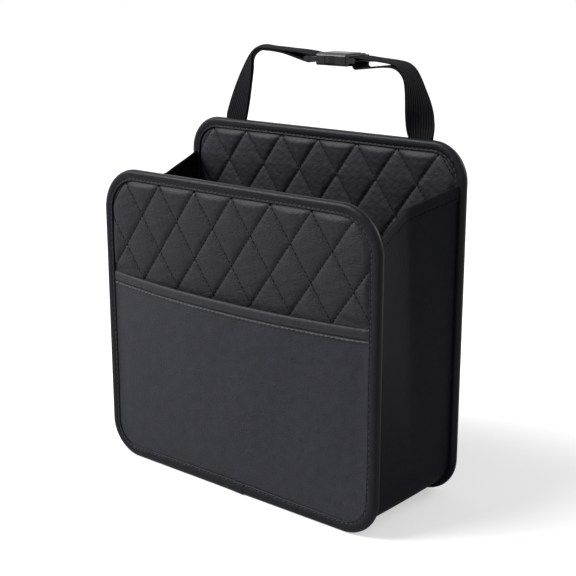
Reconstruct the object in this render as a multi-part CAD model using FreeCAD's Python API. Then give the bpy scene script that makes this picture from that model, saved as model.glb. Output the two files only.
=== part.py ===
import FreeCAD, Part
import math
import os

V = FreeCAD.Vector

# Overall sizes of the bag, in mm
PANEL_WIDTH = 280.0
FRONT_HEIGHT = 248.0
BACK_HEIGHT = 280.0
PANEL_SPACING = 104.0
CORNER_R = 30.0
FRONT_TOP_R = 36.0
CORNER_FLATS = 9

# Bound edge of each panel
BIND_THICK = 7.0
BIND_LEATHER = 1.0
BIND_FACE = 9.0
BIND_ROLL = 1.2

# Layers of a panel, front to rear
POCKET_SHEET = 1.2
QUILT_BASE = 1.6
BOARD_THICK = 1.2
LINING_THICK = 1.0

# Diamond quilting
DIAMOND_WIDE = 38.7
DIAMOND_TALL = 53.0
PILLOW_RISE = 2.1
SEAM_LIFT = 0.1
QUILT_OVER_MOUTH = 1.0
QUILT_EDGE_SLOPE = 4.0
QUILT_CENTRE_X = 1.0
FRONT_ROW_Z = 238.5
BACK_ROW_Z = 271.5

# Front pocket
MOUTH_Z = 159.0
POCKET_BULGE = 8.0
HEM_TALL = 9.0
HEM_EXTRA = 0.8

# Gusset
GUSSET_THICK = 1.2
GUSSET_INSET = 4.3
GUSSET_DROP_FRONT = 23.0
GUSSET_DROP_BACK = 32.0
FOLD_IN = 13.5
GUSSET_HEM_TALL = 8.5
GUSSET_HEM_SKIN = 0.8
BASE_BOARD_THICK = 2.0
BASE_BOARD_GAP = 2.0

# Webbing strap
WEB_WIDE = 22.0
WEB_THICK = 1.1
WEB_PLY_GAP = 0.4
TAIL_LONG = 28.0
STRAP_OUT_LEFT = 94.0
STRAP_OUT_RIGHT = 95.0
LOOP_SAG = 3.6
LOOP_SLACK = 0.9
TURN_SHARE_LEFT = 0.75
TURN_SHARE_RIGHT = 0.50

# Strap course from panel to buckle bar: shares of the way across and of the way up
COURSE_LEFT = (
    (0.086, 0.418), (0.189, 0.818), (0.276, 1.036),
    (0.373, 1.127), (0.494, 1.116), (0.735, 1.058))
COURSE_RIGHT = (
    (0.049, 0.376), (0.136, 0.714), (0.236, 0.940),
    (0.355, 1.041), (0.491, 1.051), (0.727, 1.026))

# Side release buckle, lengths along X
BUCKLE_Z = 335.0
BUCKLE_WIDE = 27.8
BUCKLE_THICK = 9.2
BUCKLE_WALL = 1.1
BUCKLE_SKIN = 1.5
SOCKET_BAR_X = -6.9
SOCKET_BAR_R = 2.0
SOCKET_LEFT = 3.9
WINDOW_LEFT = 12.3
WINDOW_RIGHT = 22.4
MOUTH_X = 32.4
MOUTH_GAP = 0.3
PLUG_BASE_LONG = 2.9
PLUG_BAR_X = 40.0
PLUG_BAR_R = 1.7
FRAME_RAIL = 2.3
RAIL_THICK = 3.7
TONGUE_WIDE = 5.0
ARM_THICK = 2.35
ARM_TALL = 5.4
SLIDE_FIT = 0.25
ARM_PIVOT_BACK = 1.5
ARM_TIP_X = 12.9
ARM_RATE = 0.0172
PAD_RAMP = 5.5
BODY_ROUND = 2.0
PLATE_INSET = 5.0
TONGUE_SET_BACK = 5.0

half_w = PANEL_WIDTH / 2.0
half_b = BIND_THICK / 2.0
core_half = half_b - BIND_LEATHER
ply = WEB_THICK / 2.0 + WEB_PLY_GAP / 2.0
front_reach = core_half + POCKET_BULGE + HEM_EXTRA
rear_reach = half_b + WEB_THICK + WEB_PLY_GAP / 2.0 + BUCKLE_WIDE / 2.0
Y_FRONT = -(PANEL_SPACING + rear_reach - front_reach) / 2.0
Y_BACK = Y_FRONT + PANEL_SPACING
Y_STRAP = Y_BACK + half_b + WEB_THICK + WEB_PLY_GAP / 2.0

gusset_top_front = FRONT_HEIGHT - GUSSET_DROP_FRONT
gusset_top_back = BACK_HEIGHT - GUSSET_DROP_BACK
gusset_top_fold = (gusset_top_front + gusset_top_back) / 2.0
nodes = {}


def round_wire(height, r_top, r_bottom, inset, y, z_low=0.0):
    """Panel outline in a plane of constant Y, inset all round; each corner is a run of flats."""
    a = half_w - inset
    lo = z_low + inset
    hi = height - inset
    rt = r_top - inset
    rb = r_bottom - inset
    half_step = math.pi / 4.0 / CORNER_FLATS
    points = []
    for cx, cz, r, start in ((a - rb, lo + rb, rb, -0.5), (a - rt, hi - rt, rt, 0.0),
                             (rt - a, hi - rt, rt, 0.5), (rb - a, lo + rb, rb, 1.0)):
        reach = r / math.cos(half_step)
        for k in range(CORNER_FLATS):
            turn = start * math.pi + (2 * k + 1) * half_step
            points.append(V(cx + reach * math.cos(turn), y, cz + reach * math.sin(turn)))
    return Part.makePolygon(points + [points[0]])


def panel_plate(height, r_top, inset, y0, y1):
    face = Part.Face(round_wire(height, r_top, CORNER_R, inset, y0))
    return face.extrude(V(0, y1 - y0, 0))


def box(x0, x1, y0, y1, z0, z1):
    return Part.makeBox(x1 - x0, y1 - y0, z1 - z0, V(x0, y0, z0))


def one_solid(shape):
    solids = shape.removeSplitter().Solids
    return max(solids, key=lambda s: s.Volume)


def loft_solid(wires, ruled=True):
    solid = Part.makeLoft(wires, True, ruled).Solids[0]
    if solid.Volume < 0:
        solid = Part.makeLoft(list(reversed(wires)), True, ruled).Solids[0]
    return solid


def facet_solid(rings):
    """Flat-faced solid through rings of points; a ring goes out along one face and back."""
    count = len(rings[0])
    faces = []

    def add(points):
        faces.append(Part.Face(Part.makePolygon(points + [points[0]])))

    for r0, r1 in zip(rings[:-1], rings[1:]):
        for i in range(count):
            j = (i + 1) % count
            add([r0[i], r0[j], r1[j]])
            add([r0[i], r1[j], r1[i]])
    for ring, flip in ((rings[0], True), (rings[-1], False)):
        for i in range(count // 2 - 1):
            cap = [ring[i], ring[i + 1], ring[count - 2 - i], ring[count - 1 - i]]
            add(cap[::-1] if flip else cap)
    solid = Part.makeSolid(Part.makeShell(faces))
    if solid.Volume < 0:
        return facet_solid([ring[::-1] for ring in rings])
    return solid


def binding(height, r_top, y_mid):
    """Folded leather edge: a soft-cornered ring with a slot for the panel's layers."""
    flat = half_b - BIND_ROLL
    ring = panel_plate(height, r_top, 0.0, y_mid - flat, y_mid + flat)
    for way in (-1, 1):
        wide = round_wire(height, r_top, CORNER_R, 0.0, y_mid + way * flat)
        narrow = round_wire(height, r_top, CORNER_R, BIND_ROLL, y_mid + way * half_b)
        ring = ring.fuse(loft_solid([wide, narrow]))
    window = panel_plate(height, r_top, BIND_FACE, y_mid - half_b - 1, y_mid + half_b + 1)
    core = panel_plate(height, r_top, BIND_LEATHER, y_mid - core_half, y_mid + core_half)
    return one_solid(ring.cut(window).cut(core))


def rib_plate(sign, z_row, y_seam, y_rear):
    """A plate of convex ribs that run along one of the two quilting directions."""
    along = V(DIAMOND_WIDE, 0, sign * DIAMOND_TALL)
    along.normalize()
    across = V(-along.z, 0, along.x)
    if across.x < 0:
        across = across * -1.0
    pitch = abs(DIAMOND_WIDE * across.x)
    count = 9
    reach = PANEL_WIDTH + BACK_HEIGHT
    origin = V(QUILT_CENTRE_X, 0, z_row) - along * reach
    edges = []
    for k in range(-count, count):
        a = origin + across * (k * pitch) + V(0, y_seam, 0)
        b = origin + across * ((k + 1) * pitch) + V(0, y_seam, 0)
        mid = (a + b) * 0.5 + V(0, -PILLOW_RISE, 0)
        edges.append(Part.Arc(a, mid, b).toShape())
    first = edges[0].Vertexes[0].Point
    last = edges[-1].Vertexes[-1].Point
    c = V(last.x, y_rear, last.z)
    d = V(first.x, y_rear, first.z)
    edges.append(Part.makeLine(last, c))
    edges.append(Part.makeLine(c, d))
    edges.append(Part.makeLine(d, first))
    return Part.Face(Part.Wire(edges)).extrude(along * (2.0 * reach))


def pillows(height, r_top, y_face, z_row, z_low):
    """Diamond pillows: where the two rib directions are both solid."""
    y_seam = y_face - SEAM_LIFT
    y_rear = y_face + 1.0
    both = rib_plate(1, z_row, y_seam, y_rear).common(rib_plate(-1, z_row, y_seam, y_rear))
    tall = PILLOW_RISE + SEAM_LIFT + 0.5
    base = BIND_FACE + 0.3
    low = round_wire(height, r_top, CORNER_R, base, y_rear, z_low)
    slope_in = base + QUILT_EDGE_SLOPE
    high = round_wire(height, r_top, CORNER_R, slope_in, y_face - tall, z_low)
    return both.common(loft_solid([low, high]))


# Front panel
nodes["front_binding"] = binding(FRONT_HEIGHT, FRONT_TOP_R, Y_FRONT)
y_slot = Y_FRONT - core_half
y_plain = y_slot + POCKET_SHEET
y_board = y_plain + QUILT_BASE
y_lining = y_board + BOARD_THICK
quilt_low = MOUTH_Z + QUILT_OVER_MOUTH
lower = panel_plate(FRONT_HEIGHT, FRONT_TOP_R, BIND_LEATHER, y_plain, y_board)
upper = panel_plate(FRONT_HEIGHT, FRONT_TOP_R, BIND_LEATHER, y_slot, y_board)
upper = upper.common(box(-half_w, half_w, y_slot - 5, y_board + 5, quilt_low, FRONT_HEIGHT))
puffs = pillows(FRONT_HEIGHT, FRONT_TOP_R, y_slot, FRONT_ROW_Z, 0.0)
puffs = puffs.common(box(-half_w, half_w, y_slot - 9, y_board, quilt_low, FRONT_HEIGHT))
nodes["front_quilt_panel"] = one_solid(lower.fuse([upper, puffs]))
nodes["front_board"] = panel_plate(FRONT_HEIGHT, FRONT_TOP_R, BIND_LEATHER, y_board, y_lining)
nodes["front_lining"] = panel_plate(
    FRONT_HEIGHT, FRONT_TOP_R, BIND_LEATHER, y_lining, y_lining + LINING_THICK)


def half_span(z, inset):
    """Half width of the panel outline at one height, below its top corners."""
    r = CORNER_R - inset
    drop = CORNER_R - z
    if drop <= 0:
        return half_w - inset
    return half_w - CORNER_R + math.sqrt(max(0.0, r * r - drop * drop))


def pocket_ring(z, extra):
    """Plan section of the pocket sheet: flat margins and a bulge between them."""
    edge = half_span(z, BIND_LEATHER)
    inner = half_span(z, BIND_FACE) if z > BIND_FACE else half_w - CORNER_R - 2.0
    t = min(1.0, max(0.0, (z - BIND_FACE) / (MOUTH_Z - BIND_FACE)))
    rise = POCKET_BULGE * math.sin(t * math.pi / 2.0)
    cells = 16
    plan = [(-edge, 0.0, 0.0)]
    for k in range(cells + 1):
        q = 2.0 * k / cells - 1.0
        added = extra if 0 < k < cells else 0.0
        plan.append((inner * q, rise * (1.0 - q * q), added))
    plan.append((edge, 0.0, 0.0))
    outer = [V(x, y_slot - bulge - added, z) for x, bulge, added in plan]
    inside = [V(x, y_plain - bulge, z) for x, bulge, added in plan]
    return outer + inside[::-1]


pocket_levels = [3.0, 6.0]
pocket_levels += [BIND_FACE + (CORNER_R - BIND_FACE) * k / 4.0 for k in range(5)]
pocket_levels += [CORNER_R + (MOUTH_Z - HEM_TALL - CORNER_R) * k / 5.0 for k in range(1, 5)]
hem_low = MOUTH_Z - HEM_TALL
pocket_rings = [pocket_ring(z, 0.0) for z in pocket_levels + [hem_low - 0.4]]
pocket_rings += [pocket_ring(z, HEM_EXTRA) for z in (hem_low, MOUTH_Z)]
nodes["front_pocket"] = facet_solid(pocket_rings)

# Back panel
nodes["back_binding"] = binding(BACK_HEIGHT, CORNER_R, Y_BACK)
y_face = Y_BACK - core_half
y_back_board = y_face + POCKET_SHEET + QUILT_BASE
y_cover = y_back_board + BOARD_THICK
plain = panel_plate(BACK_HEIGHT, CORNER_R, BIND_LEATHER, y_face, y_back_board)
nodes["back_quilt_panel"] = one_solid(
    plain.fuse(pillows(BACK_HEIGHT, CORNER_R, y_face, BACK_ROW_Z, 0.0)))
nodes["back_board"] = panel_plate(BACK_HEIGHT, CORNER_R, BIND_LEATHER, y_back_board, y_cover)
nodes["back_cover"] = panel_plate(
    BACK_HEIGHT, CORNER_R, BIND_LEATHER, y_cover, y_cover + LINING_THICK)

# Gusset: one strip down a side, under the bag and up the other side
g_front = Y_FRONT + half_b
g_back = Y_BACK - half_b
g_mid = (g_front + g_back) / 2.0
wall_x = half_w - GUSSET_INSET
bend_r = CORNER_R - GUSSET_INSET
bend_c = half_w - CORNER_R


def gusset_section(points, outward, skin_out, skin_in):
    """Six corners: front edge, fold and rear edge on both faces of the strip."""
    ring = []
    for p in points:
        ring.append(p + outward * skin_out)
    for p in reversed(points):
        ring.append(p - outward * skin_in)
    return ring


def side_points(side, f, m, b, fold):
    return [
        V(side * wall_x, g_front, f),
        V(side * (wall_x - fold), g_mid, m),
        V(side * wall_x, g_back, b),
    ]


def fold_at(z):
    t = max(0.0, (z - CORNER_R) / (gusset_top_fold - CORNER_R))
    return FOLD_IN * t


def side_sections(side, skin_out, skin_in):
    out = V(side, 0, 0)
    half_way = (gusset_top_fold + CORNER_R) / 2.0
    rows = [
        side_points(side, gusset_top_front, gusset_top_fold, gusset_top_back, FOLD_IN),
        side_points(side, half_way, half_way, half_way, fold_at(half_way)),
    ]
    sections = [gusset_section(r, out, skin_out, skin_in) for r in rows]
    steps = 6
    for k in range(steps + 1):
        a = math.pi / 2.0 * k / steps
        way = V(side * math.cos(a), 0, -math.sin(a))
        base = V(side * bend_c, 0, CORNER_R) + way * bend_r
        row = [base + V(0, y, 0) for y in (g_front, g_mid, g_back)]
        sections.append(gusset_section(row, way, skin_out, skin_in))
    return sections


right_run = side_sections(1, 0.0, GUSSET_THICK)
left_run = list(reversed(side_sections(-1, 0.0, GUSSET_THICK)))
nodes["gusset_strip"] = facet_solid(right_run + left_run)


def gusset_hem(side):
    """Folded tape over the top edge of one side of the gusset."""
    out = V(side, 0, 0)
    tops = (gusset_top_front, gusset_top_fold, gusset_top_back)
    hi = [z + GUSSET_HEM_SKIN for z in tops]
    lo = [z - GUSSET_HEM_TALL for z in tops]
    drop = FOLD_IN - fold_at(gusset_top_fold - GUSSET_HEM_TALL)
    rows = [
        side_points(side, lo[0], lo[1], lo[2], FOLD_IN - drop),
        side_points(side, hi[0], hi[1], hi[2], FOLD_IN),
    ]
    rings = []
    for r in rows:
        rings.append(gusset_section(r, out, GUSSET_HEM_SKIN, GUSSET_THICK + GUSSET_HEM_SKIN))
    return one_solid(facet_solid(rings).cut(nodes["gusset_strip"]))


nodes["gusset_hem_right"] = gusset_hem(1)
nodes["gusset_hem_left"] = gusset_hem(-1)

base_z = GUSSET_INSET + GUSSET_THICK
nodes["base_board"] = box(
    -bend_c, bend_c, g_front + BASE_BOARD_GAP, g_back - BASE_BOARD_GAP,
    base_z, base_z + BASE_BOARD_THICK)


# Webbing strap halves, each one length of webbing doubled through a buckle bar
def strap_half(side, base_x, guide, spread, loop, turn_share, turn):
    """Loft of webbing sections: up one ply, round the bar and down the other."""
    y_tail = y_cover + LINING_THICK + WEB_THICK + WEB_PLY_GAP / 2.0
    z_flap = BACK_HEIGHT - BIND_FACE
    stations = []
    inner = V(-side, 0, 0)
    for y, z in ((y_tail, z_flap - TAIL_LONG), (y_tail, z_flap - 5.0),
                 (Y_STRAP, z_flap - 0.5), (Y_STRAP, BACK_HEIGHT)):
        stations.append((V(base_x, y, z), V(0, 0, 1), inner, ply))
    curve = Part.BSplineCurve()
    knots = [V(x, Y_STRAP, z) for x, z in guide]
    curve.interpolate(Points=knots)
    edge = curve.toShape()
    count = 22
    length = edge.Length
    turn_end = turn_share * length
    for k in range(1, count + 1):
        s = length * k / count
        u = curve.parameterAtDistance(s, curve.FirstParameter)
        p = curve.value(u)
        t = curve.tangent(u)[0]
        f = min(1.0, s / turn_end)
        phi = math.pi / 2.0 * turn(f)
        w = V(-side * math.cos(phi), -math.sin(phi), 0)
        w = w - t * w.dot(t)
        w.normalize()
        run = max(0.0, (s - turn_end) / (length - turn_end))
        stations.append((p, t, w, ply + spread(run)))
    rows = []
    for p, t, w, gap in stations:
        n = t.cross(w) * side
        rows.append((p + n * gap, w, n))
    for x, z, nx, nz in loop:
        rows.append((V(x, Y_STRAP, z), V(0, -1, 0), V(nx, 0, nz)))
    for p, t, w, gap in reversed(stations):
        n = t.cross(w) * side
        rows.append((p - n * gap, w, n * -1.0))
    rings = []
    for p, w, n in rows:
        a = w * (WEB_WIDE / 2.0)
        b = n * (WEB_THICK / 2.0)
        rings.append([p + a + b, p - a + b, p - a - b, p + a - b])
    return facet_solid(rings)


def loop_points(cx, cz, rx, rz, side, steps=7):
    """Stations round a bar from its top to its underside, on the buckle's side."""
    points = []
    for k in range(1, steps):
        a = math.pi * k / steps
        nx = -side * math.sin(a)
        nz = math.cos(a)
        points.append((cx + nx * rx, cz + nz * rz, nx, nz))
    return points


wrap_left = SOCKET_BAR_R + SLIDE_FIT + WEB_THICK / 2.0
wrap_right = PLUG_BAR_R + SLIDE_FIT + WEB_THICK / 2.0
left_x = -STRAP_OUT_LEFT
right_x = STRAP_OUT_RIGHT
sag_z = BUCKLE_Z - LOOP_SAG / 2.0


def course(base_x, bar_x, bar_z, marks):
    """Guide points of a strap half from the top of the back panel to its buckle bar."""
    points = [(base_x, BACK_HEIGHT)]
    for across, up in marks:
        points.append((base_x + (bar_x - base_x) * across, BACK_HEIGHT + (bar_z - BACK_HEIGHT) * up))
    return points + [(bar_x, bar_z)]


guide_left = course(left_x, SOCKET_BAR_X, BUCKLE_Z, COURSE_LEFT)
guide_right = course(right_x, PLUG_BAR_X, sag_z, COURSE_RIGHT)
loop_left = loop_points(SOCKET_BAR_X, BUCKLE_Z, wrap_left, wrap_left, -1)
loop_right = loop_points(
    PLUG_BAR_X, sag_z, wrap_right + LOOP_SLACK, wrap_right + LOOP_SAG / 2.0, 1)


def spread_left(r):
    return (wrap_left - ply) * math.sin(r * math.pi / 2.0) ** 1.5


def spread_right(r):
    return (wrap_right + LOOP_SAG / 2.0 - ply) * r ** 1.5


def turn_left(f):
    return f ** 1.5


def turn_right(f):
    return 1.0 - (1.0 - f) ** 1.6


nodes["strap_left"] = strap_half(
    -1, left_x, guide_left, spread_left, loop_left, TURN_SHARE_LEFT, turn_left)
nodes["strap_right"] = strap_half(
    1, right_x, guide_right, spread_right, loop_right, TURN_SHARE_RIGHT, turn_right)

# Buckle
half_y = BUCKLE_WIDE / 2.0
half_t = BUCKLE_THICK / 2.0
cav_y = half_y - BUCKLE_WALL
cav_z = half_t - BUCKLE_SKIN
rail_t = RAIL_THICK / 2.0


def buckle_box(x0, x1, hy, hz):
    return box(x0, x1, Y_STRAP - hy, Y_STRAP + hy, BUCKLE_Z - hz, BUCKLE_Z + hz)


def bar_rod(x, r, hy):
    return Part.makeCylinder(r, 2.0 * hy, V(x, Y_STRAP - hy, BUCKLE_Z), V(0, 1, 0))


def rails(x0, x1, hy):
    outer = buckle_box(x0, x1, hy, rail_t)
    return outer.cut(buckle_box(x0 - 1, x1 + 1, hy - FRAME_RAIL, rail_t + 1))


def long_edges(shape):
    picked = []
    for e in shape.Edges:
        b = e.BoundBox
        if b.XLength > 5.0 and b.YLength < 1e-6 and b.ZLength < 1e-6:
            picked.append(e)
    return picked


body = buckle_box(SOCKET_LEFT, MOUTH_X, half_y, half_t)
body = body.makeFillet(BODY_ROUND, long_edges(body))
plate = box(SOCKET_LEFT + 1.5, MOUTH_X - 1.5,
            Y_STRAP - half_y + PLATE_INSET, Y_STRAP + half_y - PLATE_INSET,
            BUCKLE_Z + half_t - 0.5, BUCKLE_Z + half_t + 0.6)
plate = plate.makeChamfer(0.5, [e for e in plate.Edges if e.BoundBox.ZMin > BUCKLE_Z + half_t])
body = body.fuse(plate)
body = body.cut(buckle_box(SOCKET_LEFT + 2.0, MOUTH_X + 1, cav_y, cav_z))
body = body.cut(buckle_box(WINDOW_LEFT, WINDOW_RIGHT, half_y + 1, cav_z))
frame_left = rails(SOCKET_BAR_X, SOCKET_LEFT + 1.0, half_y)
nodes["buckle_socket"] = one_solid(
    body.fuse([frame_left, bar_rod(SOCKET_BAR_X, SOCKET_BAR_R, half_y)]))

plug_x = MOUTH_X + MOUTH_GAP
plug_end = plug_x + PLUG_BASE_LONG
base = buckle_box(plug_x, plug_end, half_y - 0.5, cav_z + 0.6)
tongue = buckle_box(SOCKET_LEFT + TONGUE_SET_BACK, plug_x + 0.5, TONGUE_WIDE / 2.0, 2.0)
frame_right = rails(plug_end - 0.5, PLUG_BAR_X, half_y - 0.5)
nodes["buckle_plug"] = one_solid(
    base.fuse([tongue, frame_right, bar_rod(PLUG_BAR_X, PLUG_BAR_R, half_y - 0.5)]))

arm_out = cav_y - SLIDE_FIT
arm_y = arm_out - ARM_THICK / 2.0
pivot_x = plug_x - ARM_PIVOT_BACK


def press_arm(way):
    """Flexing arm with the press pad that fills the socket's side window."""
    r_root = ARM_THICK / 2.0
    r_start = pivot_x - WINDOW_RIGHT
    outer = []
    steps = 5
    r_end = pivot_x - ARM_TIP_X
    flush = half_y - arm_out
    for k in range(steps + 1):
        r = r_start + 0.3 + (PAD_RAMP - 0.3) * k / steps
        rise = r * math.sin(ARM_RATE * (r - r_start)) - 0.1
        outer.append((pivot_x - r, arm_out + max(0.0, min(flush, rise))))
    outer.append((pivot_x - r_end, arm_out + flush))
    ring = [(pivot_x, arm_out)] + outer
    ring = ring + [(pivot_x - r_end, arm_y - r_root + 0.6), (pivot_x - r_end + 1.2, arm_y - r_root)]
    ring.append((pivot_x, arm_y - r_root))
    z0 = BUCKLE_Z - ARM_TALL / 2.0
    points = [V(x, Y_STRAP + way * y, z0) for x, y in ring]
    lines = Part.makePolygon(points).Edges
    mid = V(pivot_x + r_root, Y_STRAP + way * arm_y, z0)
    lines.append(Part.Arc(points[-1], mid, points[0]).toShape())
    return Part.Face(Part.Wire(lines)).extrude(V(0, 0, ARM_TALL))


nodes["plug_arm_front"] = press_arm(-1)
nodes["plug_arm_rear"] = press_arm(1)

os.makedirs("parts", exist_ok=True)
for name, shape in nodes.items():
    shape.exportStep("parts/" + name + ".step")
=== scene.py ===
"""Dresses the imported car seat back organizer: quilted leather panels, bound edges, webbing and buckle."""

import math

import bmesh
import bpy
import numpy as np
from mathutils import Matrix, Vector


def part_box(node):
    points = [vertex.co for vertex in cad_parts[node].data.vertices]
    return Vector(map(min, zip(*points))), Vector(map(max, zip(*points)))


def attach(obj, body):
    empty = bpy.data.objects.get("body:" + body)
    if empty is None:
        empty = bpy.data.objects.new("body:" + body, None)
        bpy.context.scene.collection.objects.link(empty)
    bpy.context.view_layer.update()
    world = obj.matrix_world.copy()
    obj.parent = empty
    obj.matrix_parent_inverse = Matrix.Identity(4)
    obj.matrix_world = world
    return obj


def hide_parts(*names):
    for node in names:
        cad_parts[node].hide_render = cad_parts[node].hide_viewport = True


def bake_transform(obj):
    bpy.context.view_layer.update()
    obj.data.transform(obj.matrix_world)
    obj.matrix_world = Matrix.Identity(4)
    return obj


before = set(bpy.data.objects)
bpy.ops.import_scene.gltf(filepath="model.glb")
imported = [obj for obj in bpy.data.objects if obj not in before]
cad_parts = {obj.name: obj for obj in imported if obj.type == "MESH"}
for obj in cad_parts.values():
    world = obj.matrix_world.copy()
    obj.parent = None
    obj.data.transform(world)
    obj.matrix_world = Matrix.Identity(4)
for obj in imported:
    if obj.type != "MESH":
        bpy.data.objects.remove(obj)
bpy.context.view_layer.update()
MM = 0.001

# Sizes in millimetres: the form as in the CAD model, thread for the looks alone
front_low, front_high = (np.array(p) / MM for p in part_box("front_binding"))
back_low, back_high = (np.array(p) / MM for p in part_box("back_binding"))
Y_FRONT = (front_low[1] + front_high[1]) / 2
Y_BACK = (back_low[1] + back_high[1]) / 2
HALF_W = front_high[0]
FRONT_H = front_high[2]
BACK_H = back_high[2]
HALF_B = (front_high[1] - front_low[1]) / 2
CORNER_R = 30.0
FRONT_TOP_R = 36.0
LEATHER = 1.0
BIND_FACE = 9.0
CORE_HALF = HALF_B - LEATHER
POCKET_SHEET = 1.2
QUILT_BASE = 1.6
SHEET_IN = 1.5
RIM_IN = 1.6
STITCH_IN = 7.3
STITCH_PITCH = 4.3
STITCH_LONG = 3.6
STITCH_R = 0.46

DIAMOND_WIDE = 38.7
DIAMOND_TALL = 53.0
QUILT_CENTRE_X = 1.0
FRONT_ROW_Z = 238.5
BACK_ROW_Z = 271.5
PUFF = 2.5

MOUTH_END_Z = 161.0
MOUTH_SAG = 2.0
POCKET_BULGE = 8.0
HEM_TALL = 9.0
HEM_EXTRA = 0.7

GUSSET_THICK = 1.2
GUSSET_INSET = 4.3
GUSSET_TOP_FRONT = 225.0
GUSSET_TOP_BACK = 248.0
FOLD_IN = 13.5
GUSSET_HEM = 8.5
HEM_SKIN = 0.8

WEB_WIDE = 22.0
WEB_THICK = 1.1
WEB_PLY_GAP = 0.4
PLY = (WEB_THICK + WEB_PLY_GAP) / 2
TAIL_LONG = 28.0
Y_STRAP = Y_BACK + HALF_B + WEB_THICK + WEB_PLY_GAP / 2
BUCKLE_Z = 335.0

Y_SLOT = Y_FRONT - CORE_HALF
Y_PLAIN = Y_SLOT + POCKET_SHEET
G_FRONT = Y_FRONT + HALF_B
G_BACK = Y_BACK - HALF_B


# Small tools

def smoothstep(a, b, x):
    t = np.clip((x - a) / (b - a), 0.0, 1.0)
    return t * t * (3.0 - 2.0 * t)


def ripple(u, v, size, seed):
    """Soft wavy noise, about -1 to 1, with features of that size in mm."""
    rng = np.random.default_rng(seed)
    total = np.zeros(np.broadcast(u, v).shape)
    for _ in range(7):
        a = rng.uniform(0, 2 * math.pi)
        k = 2 * math.pi / (size * rng.uniform(0.6, 1.7))
        total = total + np.sin(k * (u * math.cos(a) + v * math.sin(a)) + rng.uniform(0, 6.28))
    return total / 3.2


def edge_distance(x, z, height, r_top, inset):
    """Signed distance to the inset panel outline: negative inside."""
    a = HALF_W - inset
    half = height / 2 - inset
    r = np.where(z > height / 2, r_top, CORNER_R) - inset
    qx = np.abs(x) - a + r
    qz = np.abs(z - height / 2) - half + r
    outside = np.hypot(np.maximum(qx, 0), np.maximum(qz, 0))
    return outside + np.minimum(np.maximum(qx, qz), 0) - r


def mesh_object(name, verts, faces, material):
    mesh = bpy.data.meshes.new(name)
    mesh.from_pydata((np.asarray(verts) * MM).tolist(), [], faces)
    mesh.update()
    work = bmesh.new()
    work.from_mesh(mesh)
    loose = [v for v in work.verts if not v.link_faces]
    bmesh.ops.delete(work, geom=loose, context="VERTS")
    bmesh.ops.recalc_face_normals(work, faces=work.faces)
    work.to_mesh(mesh)
    work.free()
    mesh.polygons.foreach_set("use_smooth", [True] * len(mesh.polygons))
    obj = bpy.data.objects.new(name, mesh)
    bpy.context.scene.collection.objects.link(obj)
    obj.data.materials.append(material)
    return obj


def slab(name, front, back, material, keep=None):
    """Closed sheet between two grids of points; keep drops cells outside an outline."""
    n, m = front.shape[:2]
    if keep is None:
        keep = np.ones((n - 1, m - 1), bool)
    verts = np.concatenate([front.reshape(-1, 3), back.reshape(-1, 3)])
    off = n * m
    faces = []
    for i, j in zip(*np.nonzero(keep)):
        a = int(i * m + j)
        b, c, d = a + 1, a + m + 1, a + m
        faces.append((a, b, c, d))
        faces.append((a + off, d + off, c + off, b + off))
        sides = ((i - 1, j, a, b), (i, j + 1, b, c), (i + 1, j, c, d), (i, j - 1, d, a))
        for ii, jj, p, q in sides:
            inside = 0 <= ii < n - 1 and 0 <= jj < m - 1 and keep[ii, jj]
            if not inside:
                faces.append((q, p, p + off, q + off))
    return mesh_object(name, verts, faces, material)


def ring_mesh(name, rings, material, closed):
    """Skin through rings of points, joined end to end or capped at both ends."""
    verts = np.array(rings)
    n, m = verts.shape[:2]
    faces = []
    for k in range(n if closed else n - 1):
        for q in range(m):
            a, b = k * m + q, k * m + (q + 1) % m
            c, d = (k + 1) % n * m + (q + 1) % m, (k + 1) % n * m + q
            faces.append((a, b, c, d))
    if not closed:
        faces.append(tuple(range(m)))
        faces.append(tuple((n - 1) * m + q for q in range(m))[::-1])
    return mesh_object(name, verts.reshape(-1, 3), faces, material)


def all_corners(mask):
    return mask[:-1, :-1] & mask[1:, :-1] & mask[:-1, 1:] & mask[1:, 1:]


STITCH_ALONG = np.array([-0.5, -0.4, -0.15, 0.15, 0.4, 0.5])
STITCH_GIRTH = np.array([0.25, 0.8, 1.0, 1.0, 0.8, 0.25])
STITCH_DIP = np.array([-0.5, -0.12, 0.1, 0.1, -0.12, -0.5])
STITCH_SIDES = 6
STITCH_DRIFT = 0.16
STITCH_REACH = (0.86, 1.08)
TANGENT_SPAN = 0.6


def run_length(points):
    """Distance along a line of points, from its start."""
    return np.concatenate([[0], np.cumsum(np.linalg.norm(np.diff(points, axis=0), axis=1))])


def unit(vectors):
    return vectors / np.linalg.norm(vectors, axis=1)[:, None]


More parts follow.
